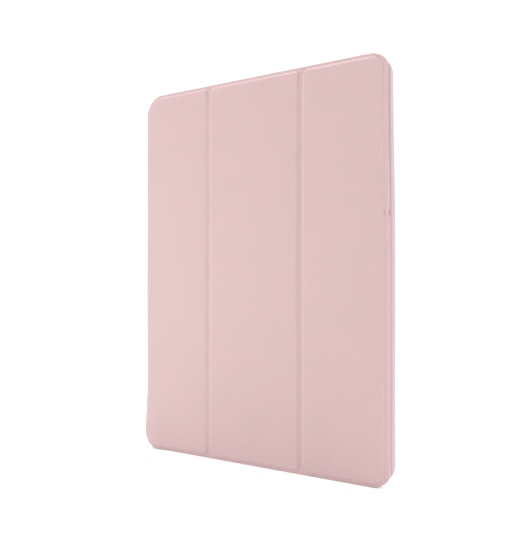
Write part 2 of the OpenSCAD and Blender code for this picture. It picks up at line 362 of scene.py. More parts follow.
def noise(tree, coords, scale, detail, **more):
    inputs = {"Vector": coords, "Scale": scale, "Detail": detail, **more}
    return node(tree, "ShaderNodeTexNoise", inputs).outputs["Fac"]


def mark(tree, name):
    """A mesh's own values for where it is pressed or worn, and for where painted shade or a painted highlight
    goes.
    """
    return node(tree, "ShaderNodeAttribute", attribute_name=name).outputs["Fac"]


def bumps(tree, shader, layers):
    """Chains bump layers of (height socket, strength, distance in metres) into the shader's normal."""
    normal = None
    for height, strength, distance in layers:
        inputs = {"Height": height, "Strength": strength, "Distance": distance}
        made = node(tree, "ShaderNodeBump", inputs)
        if normal is not None:
            tree.links.new(normal, made.inputs["Normal"])
        normal = made.outputs["Normal"]
    tree.links.new(normal, shader.inputs["Normal"])


def scaled(colour, k):
    return tuple(min(1.0, c * k) for c in colour)


def leather(name, colour):
    """Fine-grained coated leather: pebbled grain, faint mottling, ridges paler from rubbing and from a
    painted highlight, and pressed lines darker, deepened with painted shade along the front crease and in its
    nip.
    """
    material, tree, shader, coords = start_material(name, 0.56, 0.42, Sheen_Weight=0.10, Sheen_Roughness=0.45)
    pebbles = node(tree, "ShaderNodeTexVoronoi", {"Vector": coords, "Scale": 2300.0, "Randomness": 0.9},
                   feature="SMOOTH_F1").outputs["Distance"]
    fine = noise(tree, coords, 5200.0, 2.0)
    mottle = noise(tree, coords, 42.0, 5.0, Roughness=0.62)
    slow = noise(tree, coords, 11.0, 2.0)
    wear_and_highlight, press_and_shade = mark(tree, "wear_and_highlight"), mark(tree, "press_and_shade")
    base = mix_colour(tree, remap(tree, mottle, 0.3, 0.7, 0, 1), scaled(colour, 0.975), scaled(colour, 1.02))
    base = mix_colour(tree, remap(tree, pebbles, 0.0, 0.7, 0.0, 0.16), base, scaled(colour, 0.86))
    # Paler where worn: rubbing on the ridges, and a painted highlight on the field borders and the front
    # crease's ridge.
    base = mix_colour(tree, remap(tree, wear_and_highlight, 0, 1, 0, 1), base, scaled(colour, 1.32))
    pressed = tuple(c * k for c, k in zip(colour, (0.75, 0.55, 0.53)))
    # Darker where pressed: real pressed lines and cut edges, and painted shade beside the front crease and in
    # its nip.
    base = mix_colour(tree, press_and_shade, base, pressed)
    tree.links.new(base, shader.inputs["Base Color"])
    rough = remap(tree, mottle, 0.25, 0.75, 0.52, 0.62)
    tree.links.new(rough, shader.inputs["Roughness"])
    bumps(tree, shader, [(slow, 0.10, 0.0006), (pebbles, 0.30, 0.00005), (fine, 0.22, 0.00003)])
    return material


def microfibre(name, colour):
    """Brushed microfibre: short nap in one direction, soft lighter patches and a sheen."""
    material, tree, shader, coords = start_material(name, 0.92, 0.15, Sheen_Weight=0.45, Sheen_Roughness=0.5)
    stretched = node(tree, "ShaderNodeMapping", {"Vector": coords, "Scale": (1.0, 1.0, 0.22)}).outputs[0]
    nap = noise(tree, stretched, 2600.0, 3.0)
    patches = noise(tree, coords, 38.0, 4.0)
    fibres = noise(tree, coords, 7000.0, 1.0)
    press_and_shade = mark(tree, "press_and_shade")
    base = mix_colour(tree, remap(tree, patches, 0.3, 0.7, 0, 1), scaled(colour, 0.93), scaled(colour, 1.05))
    base = mix_colour(tree, remap(tree, nap, 0.3, 0.7, 0, 0.5), base, scaled(colour, 0.84))
    base = mix_colour(tree, remap(tree, press_and_shade, 0, 1, 0, 0.6), base, scaled(colour, 0.72))
    tree.links.new(base, shader.inputs["Base Color"])
    bumps(tree, shader, [(nap, 0.45, 0.00008), (fibres, 0.35, 0.00004)])
    return material


def frosted(name, colour):
    """Soft moulded plastic with a spark-eroded frost and faint flow clouds."""
    material, tree, shader, coords = start_material(name, 0.46, 0.5, Subsurface_Weight=0.25)
    shader.inputs["Subsurface Scale"].default_value = 0.002
    frost = noise(tree, coords, 4200.0, 3.0)
    flow = noise(tree, coords, 16.0, 3.0)
    base = mix_colour(tree, remap(tree, flow, 0.3, 0.7, 0, 1), scaled(colour, 0.97), scaled(colour, 1.03))
    base = mix_colour(tree, remap(tree, frost, 0.35, 0.65, 0, 0.25), base, scaled(colour, 0.9))
    tree.links.new(base, shader.inputs["Base Color"])
    tree.links.new(remap(tree, flow, 0.3, 0.7, 0.42, 0.52), shader.inputs["Roughness"])
    bumps(tree, shader, [(flow, 0.06, 0.0005), (frost, 0.28, 0.00004)])
    return material


def hard(name, colour, metallic, roughness, stretch, scale):
    """Board and metal: fibres or brushing along z, with small tonal change."""
    material, tree, shader, coords = start_material(name, roughness, 0.5, Metallic=metallic)
    drawn = node(tree, "ShaderNodeMapping", {"Vector": coords, "Scale": (1.0, 1.0, stretch)}).outputs[0]
    lines = noise(tree, drawn, scale, 4.0)
    base = mix_colour(tree, remap(tree, lines, 0.3, 0.7, 0, 1), scaled(colour, 0.85), scaled(colour, 1.12))
    tree.links.new(base, shader.inputs["Base Color"])
    rough = remap(tree, lines, 0.3, 0.7, roughness - 0.06, roughness + 0.08)
    tree.links.new(rough, shader.inputs["Roughness"])
    bumps(tree, shader, [(lines, 0.25, 0.00005)])
    return material


LEATHER = leather("pink_leather", (0.416, 0.292, 0.293))
# The spine and back crease wear the same pink leather, paler and greyer: a painted reflection of the white
# surroundings seen at a grazing angle.
SPINE_PAINTED_REFLECTION_LEATHER = leather("spine_leather", (0.42, 0.338, 0.352))
LINING = microfibre("pink_microfibre", (0.39, 0.268, 0.268))
SHELL = frosted("frosted_soft_plastic", (0.46, 0.357, 0.353))
BOARD = hard("grey_board", (0.34, 0.31, 0.28), 0.0, 0.85, 0.3, 900.0)
STEEL = hard("rolled_steel", (0.52, 0.52, 0.54), 1.0, 0.34, 0.05, 2400.0)
NICKEL = hard("nickel_plate", (0.62, 0.60, 0.57), 1.0, 0.24, 0.6, 1800.0)
GLUE = frosted("clear_glue_film", (0.72, 0.70, 0.66))


def place(obj, body, cad_node):
    """Puts a piece on its body and the CAD node it stands for."""
    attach(obj, body)
    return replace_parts(obj, cad_node)


def bend_between(obj, cad_node):
    """For a strip that spans from one body to another: bakes its placement into its mesh and hides the CAD
    node it stands for, putting it on no body.
    """
    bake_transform(obj)
    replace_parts(obj, cad_node)


# ---- Cover panels ----
# Shares of a panel's height at which its long sides have points, closer together round the nip
SIDE = np.linspace(0, 1, 42)[1:-1]
FINE_SIDE = np.unique(np.concatenate([SIDE, np.linspace(0.606, 0.652, 24)]))
# Offsets of a panel's loops from its field's border, and the steps out from there to its cut edge
RINGS_IN = (0.6, 0.35, 0.1, -0.15, -0.4, -0.65, -0.95, -1.3, -1.7, -2.2, -3.2, -6.0, -11.0, -18.0)
BOARD_RINGS = (-1.05, -1.25, -1.6, -3.0, -6.0, -11.0, -18.0)
EDGE_STEPS = (0.0, 0.04, 0.1, 0.2, 0.32, 0.48, 0.7, 1.0)
# Corner radius of a panel's outline where it meets a fold or crease
INNER_R = 3.0


class Panel:
    """One stiff panel of the cover: its outline, its raised field and the heights of its faces."""

    def __init__(self, x0, x1, field, radii, side=SIDE):
        """field: the raised field's x0 and x1. radii: its left and right corner radii."""
        self.x0, self.x1, self.field, self.radii, self.side = x0, x1, field, radii, side
        self.at_free_edge = x0 == FREE_X
        self.at_spine = x1 == CREASE_START

    def outline(self, inset=0.0):
        low, high = inset, CASE_H - inset
        r = CORNER_R - inset
        if self.at_free_edge:
            return ring(self.x0 + inset, self.x1, low, high, r, INNER_R, self.side, square=("right",))
        if self.at_spine:
            turn = math.degrees(math.asin((self.x1 - CORNER_X) / r))
            return ring(self.x0, self.x1, low, high, INNER_R, r, self.side, square=("left",), clip=turn)
        return ring(self.x0, self.x1, low, high, INNER_R, INNER_R, self.side, square=("left", "right"))

    def distance(self, x, z):
        """Distance from the raised field's border, negative inside."""
        return box_distance(x, z, *self.field, MARGIN, CASE_H - MARGIN, *self.radii)

    def field_loop(self, offset):
        """The raised field's border, moved outwards by offset."""
        x0, x1 = self.field
        left, right = (max(r + offset, 0.8) for r in self.radii)
        low = MARGIN - offset
        return ring(x0 - offset, x1 + offset, low, CASE_H - low, left, right, self.side)

    def rise(self, x, z):
        """0 on the flat leather and 1 on the raised field, eased more softly beside a groove."""
        soft = smooth((np.minimum(z, CASE_H - z) - MARGIN - 1) / 9)
        if self.at_free_edge:
            soft = soft * (x > (self.x0 + self.x1) / 2)
        inner = BEVEL_IN + (GROOVE_IN - BEVEL_IN) * soft
        return smooth((BEVEL_OUT - self.distance(x, z)) / (BEVEL_OUT + inner))

    def crown(self, x, z):
        """How far the field's padding swells towards its middle."""
        return 0.13 * (1 - np.exp(np.minimum(self.distance(x, z) + 1.0, 0) / 14))

    def top(self, x, z):
        level = base_level(x, z)
        raised = level + (FACE - level) * self.rise(x, z) + self.crown(x, z)
        return raised - edge_drop(edge_distance(x, z))

    def under(self, x, z):
        return np.minimum(UNDER + (FACE - FLAT) * self.rise(x, z), self.top(x, z) - 0.04)

    def loops(self, inset=0.0):
        edge, base = self.outline(inset), self.field_loop(0.85)
        made = [edge + (base - edge) * t for t in EDGE_STEPS]
        made += [self.field_loop(o) for o in RINGS_IN]
        return made + [collapse(self.field_loop(RINGS_IN[-1]))]

    def marks(self):
        return {
            "press_and_shade": lambda x, z: np.clip(0.2 * bump(edge_distance(x, z) / 0.3)
                                          + 0.05 * bump((self.distance(x, z) - 1.0) / 0.8), 0, 1),
            # The field's raised border is paler: partly rubbed, partly a painted highlight along its bevel.
            "wear_and_highlight": lambda x, z: 0.24 * bump((self.distance(x, z) + 0.4) / 0.6),
        }

    def skin(self, name):
        points, faces, marks = sheet_between(self.loops(), self.top, self.under, settle, self.marks())
        return make(name, points, faces, LEATHER, marks)

    def lining(self, name):
        def flat(x, z):
            return np.full_like(x, UNDER - GAP)

        def pressed(x, z):
            return LINING_UNDER + 0.16 * bump((self.distance(x, z) - 1.1) / 0.8)

        def line(x, z):
            at_edge = 0.8 * bump(edge_distance(x, z) / 0.6)
            return np.clip(bump((self.distance(x, z) - 1.0) / 0.7) + at_edge, 0, 1)

        loops = self.loops(LINING_INSET)
        points, faces, marks = sheet_between(loops, flat, pressed, settle, {"press_and_shade": line})
        return make(name, points, faces, LINING, marks)

    def board(self, name):
        def top(x, z):
            return FACE - SKIN_T - 0.04 + self.crown(x, z)

        def low(x, z):
            return np.full_like(x, UNDER + GAP)

        loops = [self.field_loop(o) for o in BOARD_RINGS]
        loops.append(collapse(loops[-1]))
        points, faces, _ = sheet_between(loops, top, low, settle, {})
        return make(name, points, faces, BOARD)


free = Panel(FREE_X, FOLD_ONE - SEAM, (FREE_X + MARGIN, FOLD_ONE - LEFT_GROOVE), (13.8, 2.4))
middle = Panel(FOLD_ONE + SEAM, FOLD_TWO - SEAM, (FOLD_ONE + RIGHT_GROOVE, FOLD_TWO - LEFT_GROOVE),
               (4.5, 2.4))
hinge = Panel(FOLD_TWO + SEAM, CREASE_START, (FOLD_TWO + RIGHT_GROOVE, CREASE - HINGE_STRIP), (4.5, 8.5),
              FINE_SIDE)

for body, panel in (("free_panel", free), ("middle_panel", middle), ("hinge_panel", hinge)):
    place(panel.skin(body + "_leather"), body, body + "_skin")
    place(panel.board(body + "_core"), body, body + "_board")
    place(panel.lining(body + "_microfibre"), body, body + "_lining")


# ---- Rows of points along the case's height ----
def rows():
    """Shares of the height, closer together at the ends and round the nip."""
    ends = np.array([0, 0.06, 0.14, 0.26, 0.42, 0.62, 0.9, 1.3, 1.9, 2.8, 4.2, 6.5, 10, 15])
    middle_part = np.arange(20, CASE_H - 19, 6.0)
    round_nip = np.arange(PINCH_Z - 5, PINCH_Z + 5.01, 0.42)
    return np.unique(np.round(np.concatenate([ends, CASE_H - ends, middle_part, round_nip]), 3)) / CASE_H


ROWS = rows()


def fill_in(h):
    """Where the line pressed beside the front crease runs out, towards the spine's ends."""
    return float(bump((h - 1.85) / 1.0)) if h < FLAT - 0.15 else 0.0


def nothing(x, h, z):
    return np.zeros_like(z)


def evenly(amount):
    """A mark of the same strength all over."""
    return lambda x, h, z: np.full_like(z, amount)


def strip(name, columns, lows, thick, material, press_and_shade, drop=0.0, inset=0.0, wear_and_highlight=nothing, lift=nothing):
    """A bent strip: columns of (x, h, normal x, normal h) on its outer face, each from its own low z up.

    drop: 1 where the face falls towards the strip's two ends, else 0. lift(x, h, z): how far it is raised.
    """
    outer, inner, pressed, wear_and_highlight_rows = [], [], [], []
    for (x, h, nx, nh), low in zip(columns, lows):
        low = low + inset
        z = low + (CASE_H - 2 * low) * ROWS
        end = np.minimum(z - low, CASE_H - low - z)
        fall = edge_drop(end) * drop
        out = max(OUT - 0.04 - x, 0.0) * fill_in(h) * (1 - smooth(end / 5)) * (drop > 0)
        raised = h + lift(x, h, z)
        outer.append(np.stack([x + out - nx * fall, raised - nh * fall, z], 1))
        inner.append(np.stack([x + out - nx * thick, np.full_like(z, h - nh * thick), z], 1))
        pressed.append(np.clip(press_and_shade(x, h, z) + 0.2 * drop * bump(end / 0.3), 0, 1))
        wear_and_highlight_rows.append(wear_and_highlight(x, h, z))
    outer, inner = np.array(outer), np.array(inner)
    points, faces = slab(outer, inner)
    marks = {key: np.tile(np.array(v).ravel(), 2) for key, v in (("press_and_shade", pressed), ("wear_and_highlight", wear_and_highlight_rows))}
    return make(name, settle(points), faces, material, marks)


# ---- Folds between the panels ----
def fold(number, x, right, left):
    """The strips of skin and lining that bend between two panels. Returns the lining's."""
    across = np.linspace(-SEAM, SEAM, 9)
    skin_columns = [(x + d, FLAT, 0, 1) for d in across]
    lining_columns = [(x + d, UNDER - GAP, 0, 1) for d in across]
    lows = [0.0] * len(across)

    def groove(px, h, z):
        px = np.full_like(z, px)
        level = base_level(px, z)
        return level + (FACE - level) * np.maximum(left.rise(px, z), right.rise(px, z)) - FLAT

    def line(px, h, z):
        return np.full_like(z, 0.04 + 0.04 * bump((px - x) / 0.5))

    skin_strip = strip(f"fold_{number}_leather", skin_columns, lows, SKIN_T, LEATHER, line, 1.0, lift=groove)
    lining_strip = strip(f"fold_{number}_microfibre", lining_columns, lows, UNDER - LINING_UNDER - 2 * GAP,
                         LINING, evenly(0.35), inset=LINING_INSET)
    for obj, slot, kind in ((skin_strip, "outer_skin", "skin"), (lining_strip, "lining", "lining")):
        bend_between(obj,
                     f"fold_{number}_{kind}")
    return lining_strip


fold_one_lining = fold("one", FOLD_ONE, middle, free)
fold_two_lining = fold("two", FOLD_TWO, hinge, middle)

# ---- The spine and its two creases, along one outline from front to back ----
FRONT_KEYS = [(CREASE_START, FLAT), (OUT - 1.9, FLAT), (OUT - 1.2, FLAT + 0.03), (OUT - 0.72, FLAT + 0.1),
              (OUT - 0.34, FLAT + 0.04), (OUT - 0.12, FLAT - 0.2), (OUT - 0.05, FLAT - 0.5),
              (OUT - 0.12, FLAT - 0.85), (OUT - 0.28, FLAT - 1.15), (OUT - 0.42, SPINE_FRONT)]
SPINE_KEYS = [(OUT - 0.5, 2.0), (OUT - 0.5, 1.6), (OUT - 0.36, 1.2), (OUT - 0.12, 0.75), (OUT + 0.08, 0.2),
              (OUT + 0.18, -0.6), (OUT + 0.21, -1.6), (OUT + 0.21, -2.6), (OUT + 0.18, -3.3),
              (OUT + 0.12, SPINE_BACK)]
BACK_KEYS = [(OUT - 0.03, -4.25), (OUT - 0.33, -4.68), (OUT - 0.85, -4.96), (OUT - 1.6, -5.09),
             (CREASE_START, BACK)]


def smooth_path(keys, steps):
    """A Catmull-Rom path through keys: its points, and their unit normals to the left of travel."""
    p = np.array([2 * np.array(keys[0]) - keys[1], *keys, 2 * np.array(keys[-1]) - keys[-2]], float)
    points = []
    for i in range(1, len(p) - 2):
        for t in np.linspace(0, 1, steps, endpoint=False):
            a, b, c, d = p[i - 1:i + 3]
            points.append(0.5 * (2 * b + (c - a) * t + (2 * a - 5 * b + 4 * c - d) * t ** 2
                                 + (3 * b - a - 3 * c + d) * t ** 3))
    points.append(p[-2])
    points = np.array(points)
    along = np.gradient(points, axis=0)
    along /= np.linalg.norm(along, axis=1)[:, None]
    return points, np.stack([-along[:, 1], along[:, 0]], 1)


# Points of the path from one key to the next
STEPS = 3
path, normals = smooth_path(FRONT_KEYS + SPINE_KEYS + BACK_KEYS, STEPS)
split_one = (len(FRONT_KEYS) - 1) * STEPS
split_two = (len(FRONT_KEYS) + len(SPINE_KEYS) - 1) * STEPS
# Depths behind the cover's flat leather, and how high above the case's end the spine's skin ends at each
SPINE_ENDS = ((0.0, 2.3, 5.1, 6.9, 8.0, 8.7), (7.26, 8.0, 9.8, 11.6, 13.4, 15.5))


def end_height(p):
    """Where the strip ends, from the place of a point on the outline."""
    x, depth = p[:, 0], FLAT - p[:, 1]
    along = np.clip(x - CORNER_X, 0, CORNER_R)
    on_panel = CORNER_R - np.sqrt(np.maximum(CORNER_R ** 2 - along ** 2, 0.0))
    return np.where((depth < 1) & (x < CREASE), on_panel, np.interp(depth, *SPINE_ENDS))


def outline_strip(name, first, last, thick, material):
    """A strip along the outline between two of its points."""
    columns = [(*path[i], *normals[i]) for i in range(first, last + 1)]
    return strip(name, columns, end_height(path[first:last + 1]), thick, material, crease_press_and_shade, 1.0,
                 wear_and_highlight=crease_wear_and_highlight, lift=crease_lift)


def crease_lift(x, h, z):
    """Raises the crease's leather with the level of the strip beside it."""
    return (base_level(np.full_like(z, x), z) - FLAT) * float(smooth((h - 0.6) / 2.4))


def crease_press_and_shade(x, h, z):
    """The heat-pressed line beside the crease is darker, deepened with painted shade most of all near the
    top; the nip's hollow is darkened with painted shade.
    """
    line = 0.5 + 0.5 * smooth((z - 150) / 90) + 0.15 * smooth((110 - z) / 60)
    made = line * bump((h - 1.75) / 0.9) * (x > OUT - 1.5)
    nip = bump((x - CREASE + 2.2) / 0.6) * (h > 2.4) + bump((h - 2.5) / 0.5) * (x > OUT - 1.5)
    return made + 0.55 * pinch(z) * nip


def crease_wear_and_highlight(x, h, z):
    """The ridge of the crease is rubbed paler and carries a painted highlight, more of it at the nip."""
    return (0.65 + 0.35 * pinch(z)) * bump((x - OUT + 0.08) / 0.26) * smooth((h - FLAT + 1.25) / 0.6)


front_crease = outline_strip("front_crease_leather", 0, split_one, SKIN_T, LEATHER)
spine_leather = outline_strip("spine_leather", split_one, split_two, SKIN_T, SPINE_PAINTED_REFLECTION_LEATHER)
back_crease = outline_strip("back_crease_leather", split_two, len(path) - 1, SKIN_T, SPINE_PAINTED_REFLECTION_LEATHER)

bend_between(front_crease,
             "front_crease_skin")
place(spine_leather, "spine", "spine_skin")
bend_between(back_crease,
             "back_crease_skin")


def flat_strip(name, x, thick, h0, h1, material, lows):
    """A straight strip inside the spine."""
    heights = np.linspace(h1, h0, 9)
    columns = [(x, h, 1, 0) for h in heights]
    return strip(name, columns, np.linspace(*lows, len(heights)), thick, material, evenly(0.2))


LINING_X = OUT - 1.44
core = flat_strip("spine_core", OUT - 1.0, 0.42, SPINE_BACK + 0.3, SPINE_FRONT - 0.3, BOARD, (10.6, 14.2))
place(core, "spine", "spine_board")
spine_lining = flat_strip("spine_microfibre", LINING_X, LINING_T, SPINE_BACK, SPINE_FRONT, LINING,
                          (10.0, 13.8))
place(spine_lining, "spine", "spine_lining")

LINING_KEYS = [(CREASE_START, UNDER - GAP), (OUT - 2.2, UNDER - GAP), (OUT - 1.75, UNDER - 0.12),
               (OUT - 1.5, UNDER - 0.4), (LINING_X, SPINE_FRONT)]
lining_path, lining_normals = smooth_path(LINING_KEYS, STEPS)
lining_columns = [(*p, *n) for p, n in zip(lining_path, lining_normals)]
crease_lining = strip("front_crease_microfibre", lining_columns, np.linspace(4.8, 10.0, len(lining_columns)),
                      LINING_T, LINING, evenly(0.3))
bend_between(crease_lining,
             "front_crease_lining")


# ---- Strip on the back ----
STRIP_R, STRIP_LEFT_R = 16.0, 6.0
STRIP_CENTRE = CREASE_START - 15.35
# From the case's ends to the strip's
STRIP_END = 4.0
# Shares of the way in from the strip's edge to its even middle
STRIP_STEPS = (0, 0.02, 0.05, 0.1, 0.16, 0.24, 0.34, 0.42, 0.5, 0.58, 0.68, 0.82, 1)


def back_strip(name, inset, outer_h, inner_h, material, press_line):
    """A sheet of the strip's shape, drawn in by inset. press_line: 1 for a line pressed round it, or 0."""
    r_right = STRIP_R - inset
    x0, low, high = STRIP_X + inset, STRIP_END + inset, CASE_H - STRIP_END - inset
    x1 = min(CREASE_START, STRIP_CENTRE + r_right * 0.999)
    turn = math.degrees(math.asin((x1 - STRIP_CENTRE) / r_right))
    edge = ring(x0, x1, low, high, STRIP_LEFT_R, r_right, SIDE, clip=turn)
    inside = ring(x0 + 4.2, CREASE_START - 3, low + 4.2, high - 4.2, 3, 8, SIDE)
    loops = [edge + (inside - edge) * t for t in STRIP_STEPS]
    loops.append(ring(x0 + 9, CREASE_START - 8, low + 9, high - 9, 2, 4, SIDE))
    loops.append(collapse(loops[-1]))

    def shape(x, z):
        return box_distance(x, z, x0, STRIP_CENTRE + r_right, low, high, STRIP_LEFT_R, r_right)

    def line(x, z):
        return press_line * bump((shape(x, z) + 2.0) / 0.35)

    def outer(x, z):
        return outer_h + edge_drop(-shape(x, z)) + 0.1 * line(x, z)

    def inner(x, z):
        return np.full_like(x, inner_h)

    marks = {"press_and_shade": lambda x, z: np.clip(0.8 * bump(shape(x, z) / 0.3) + 0.55 * line(x, z), 0, 1),
             "wear_and_highlight": lambda x, z: np.zeros_like(x)}
    points, faces, marks = sheet_between(loops, outer, inner, lean, marks)
    return make(name, points, faces, material, marks)


place(back_strip("back_strip_leather", 0.0, BACK, BACK + SKIN_T, LEATHER, 1.0),
      "shell", "back_strip_skin")
place(back_strip("back_strip_film", 0.6, BACK + SKIN_T + 0.005, BACK + SKIN_T + 0.1, GLUE, 0.0),
      "shell", "back_strip_glue")


# ---- Steel and magnets inside the panels ----
def at_height(loop, h):
    """A loop of (x, z) as points at height h."""
    return np.stack([loop[:, 0], np.full(len(loop), h), loop[:, 1]], 1)


def blocks(name, cad_node, body, thick, r, material, count=1, long=None):
    """Flat blocks with rounded corners and softened edges, count of them, evenly up a CAD node's box."""
    x0, x1, _, _, low, high = span(cad_node)
    long = long or high - low
    points, faces, so_far = [], [], 0
    for z in np.linspace(low, high - long, count):
        loops = []
        for d, h in ((0.25, 0.0), (0.0, 0.12), (0.0, thick - 0.12), (0.12, thick - 0.03), (0.3, thick)):
            loop = ring(x0 + d, x1 - d, z + d, z + long - d, r - d, r - d, np.linspace(0, 1, 12)[1:-1], 2)
            loops.append(at_height(loop, UNDER + 2 * GAP + h))
        block_points, block_faces = closed_loft(loops)
        faces += [tuple(i + so_far for i in f) for f in block_faces]
        points.append(block_points)
        so_far += len(block_points)
    return place(make(name, settle(np.concatenate(points)), faces, material), body, cad_node)


MAGNETS, MAGNET_LONG, MAGNET_T, MAGNET_R = 6, 14.0, 0.98, 0.5
DISC_R = 2.99
PLATE_T, PLATE_R = 0.5, 0.8
blocks("closing_magnet_blocks", "closing_magnets", "free_panel", MAGNET_T, MAGNET_R, NICKEL,
       MAGNETS, MAGNET_LONG)
blocks("wake_magnet_disc", "wake_magnet", "free_panel", MAGNET_T, DISC_R, NICKEL)
blocks("steel_catch_strip", "catch_plate", "hinge_panel", PLATE_T, PLATE_R, STEEL)


# ---- Back shell ----
def shell_loop(d):
    """The cavity's outline, moved outwards by d."""
    x0, x1, z0, z1 = CAVITY
    r = max(CAVITY_R + d, 2.0)
    return ring(x0 - d, x1 + d, z0 - d, z1 + d, r, r, SIDE, 10)


def shell_profile():
    """(offset from the cavity's wall, height) from inside the floor, over lip and rim, round to the back."""
    round_r = 2.2
    inside = [(-30, FLOOR_TOP), (-12, FLOOR_TOP), (-4, FLOOR_TOP), (-0.9, FLOOR_TOP),
              (-0.5, FLOOR_TOP + 0.06), (-0.18, FLOOR_TOP + 0.24), (-0.03, FLOOR_TOP + 0.5),
              (0, FLOOR_TOP + 0.8), (0, 0), (0, LIP_BACK - 0.4), (-0.05, LIP_BACK - 0.15)]
    lip = [(-0.2, LIP_BACK), (-1.15, LIP_BACK), (-1.38, LIP_BACK + 0.07), (-1.5, LIP_BACK + 0.3),
           (-1.42, LIP_BACK + 0.5), (-1.2, SHELL_FRONT), (-0.4, SHELL_FRONT)]
    rim = [(0.7, SHELL_FRONT), (0.98, SHELL_FRONT - 0.06), (1.22, SHELL_FRONT - 0.24),
           (WALL, SHELL_FRONT - 0.5), (WALL, 1.2), (WALL, 0), (WALL, -1.4)]
    rounding = [(WALL - round_r + round_r * math.cos(a), SHELL_BACK + round_r + round_r * math.sin(a))
                for a in np.radians(np.arange(0, -91, -11.25))]
    back = [(-4, SHELL_BACK), (-12, SHELL_BACK), (-30, SHELL_BACK)]
    return inside + lip + rim + rounding + back


shell_points, shell_faces = closed_loft([at_height(shell_loop(d), h) for d, h in shell_profile()])
shell = make("tray_shell", shell_points, shell_faces, SHELL)


def points_at(stations, at):
    """The stations' loops of (u, v) as points: at(u, v, level) gives each one."""
    return [np.array([at(u, v, level) for u, v in loop]) for loop, level in stations]


def cutter(name, stations, at):
    """A cutting solid through stations of (loop, level)."""
    made = points_at(stations, at)
    size = len(made[0])
    faces = loft_faces(len(made), size)
    faces += [tuple(range(size)), tuple(range((len(made) - 1) * size, len(made) * size))[::-1]]
    return make(name, np.concatenate(made), faces, SHELL)


def slot_loop(length, width, grow, flat):
    """A slot's outline with round ends, moved outwards by grow."""
    half_l, half_w = length / 2 + grow, width / 2 + grow
    r = half_w - 0.01
    return ring(-half_l, half_l, -half_w, half_w, r, r, np.array([0.5]), flat)


# A slot's shares of its flare, and how far outside the wall's outer face each is
FLARE = ((0.75, 1.0), (0.42, 0.02), (0.22, -0.08), (0.08, -0.24), (0.0, -0.46), (0.0, -2.6))


def slot_stations(length, width, grow, flare):
    """Loops of a slot with round ends that opens out towards the outer face."""
    return [(slot_loop(length, width, grow + o * flare, 4), level) for o, level in FLARE]


def upright(x, z_face, outwards):
    """Places (u, v, level) round x on an end wall, with the level counted outwards from z_face."""
    return lambda u, v, level: (x + u, PORT_H + v, z_face + outwards * level)


def sideways(x_face, z):
    """Places (u, v, level) round z on the free side's wall, with the level counted outwards from x_face."""
    return lambda u, v, level: (x_face - level, PORT_H + v, z + u)


def in_plan(u, v, level):
    """Places (u, v, level) in the plan of the back."""
    return u, level, v


SPEAKER_X, SPEAKER_SIZE, PORT_SIZE = 56, (24, 2.6), (14, 4.6)
POWER_LONG, VOLUME_LONG, BUTTON_WIDE = 13, 12, 3
BUTTON_PLAY, BUTTON_FLARE = 0.35, 0.5
cutters = []
middle_x = (CAVITY[0] + CAVITY[1]) / 2
for z_face, outwards in ((SHELL_Z0, -1), (SHELL_Z1, 1)):
    for side_x in (-SPEAKER_X, SPEAKER_X):
        where = upright(middle_x + side_x, z_face, outwards)
        cutters.append(cutter("cut_speaker", slot_stations(*SPEAKER_SIZE, 0, 1), where))
    if outwards < 0:
        where = upright(middle_x, z_face, outwards)
        cutters.append(cutter("cut_port", slot_stations(*PORT_SIZE, 0, 0.7), where))

power_x = sum(span("power_button")[:2]) / 2
power_slot = slot_stations(POWER_LONG, BUTTON_WIDE, BUTTON_PLAY, BUTTON_FLARE)
cutters.append(cutter("cut_power", power_slot, upright(power_x, SHELL_Z1, 1)))
volume_z = {key: sum(span(key + "_button")[4:]) / 2 for key in ("volume_up", "volume_down")}
for z in volume_z.values():
    volume_slot = slot_stations(VOLUME_LONG, BUTTON_WIDE, BUTTON_PLAY, BUTTON_FLARE)
    cutters.append(cutter("cut_volume", volume_slot, sideways(SHELL_X0, z)))

CAMERA_HALF, CAMERA_R, CAMERA_IN = 17, 9, 24.2
camera_x, camera_z = CAVITY[0] + CAMERA_IN, CAVITY[3] - CAMERA_IN
window = []
for o, level in ((1.3, -1.2), (0.72, -0.02), (0.4, 0.1), (0.16, 0.28), (0.04, 0.5), (0.0, 0.8), (0.0, 2.4)):
    half, r = CAMERA_HALF + o, CAMERA_R + o
    loop = ring(camera_x - half, camera_x + half, camera_z - half, camera_z + half, r, r,
                np.linspace(0, 1, 8)[1:-1], 6)
    window.append((loop, SHELL_BACK + level))
cutters.append(cutter("cut_camera", window, in_plan))

recess = []
for o, level in ((0.9, -0.8), (0.5, -0.02), (0.34, 0.12), (0.3, 0.3), (0.3, 0.5)):
    loop = ring(STRIP_X - o, STRIP_CENTRE + STRIP_R + 1.5 + o, STRIP_END - o, CASE_H - STRIP_END + o,
                STRIP_LEFT_R + o, STRIP_R + o, SIDE, 8)
    recess.append((loop, SHELL_BACK + level))
cutters.append(cutter("cut_recess", recess, in_plan))


def cut_away(obj, solids):
    """Takes solids out of an object's mesh, and removes them."""
    group = bpy.data.collections.new("cutters")
    bpy.context.scene.collection.children.link(group)
    for solid in solids:
        group.objects.link(solid)
        bpy.context.scene.collection.objects.unlink(solid)
    cut = obj.modifiers.new("cut", "BOOLEAN")
    cut.operation, cut.operand_type, cut.collection, cut.solver = "DIFFERENCE", "COLLECTION", group, "EXACT"
    bpy.context.view_layer.update()
    obj.data = bpy.data.meshes.new_from_object(obj.evaluated_get(bpy.context.evaluated_depsgraph_get()))
    obj.modifiers.clear()
    for solid in solids:
        bpy.data.objects.remove(solid)
    bpy.data.collections.remove(group)


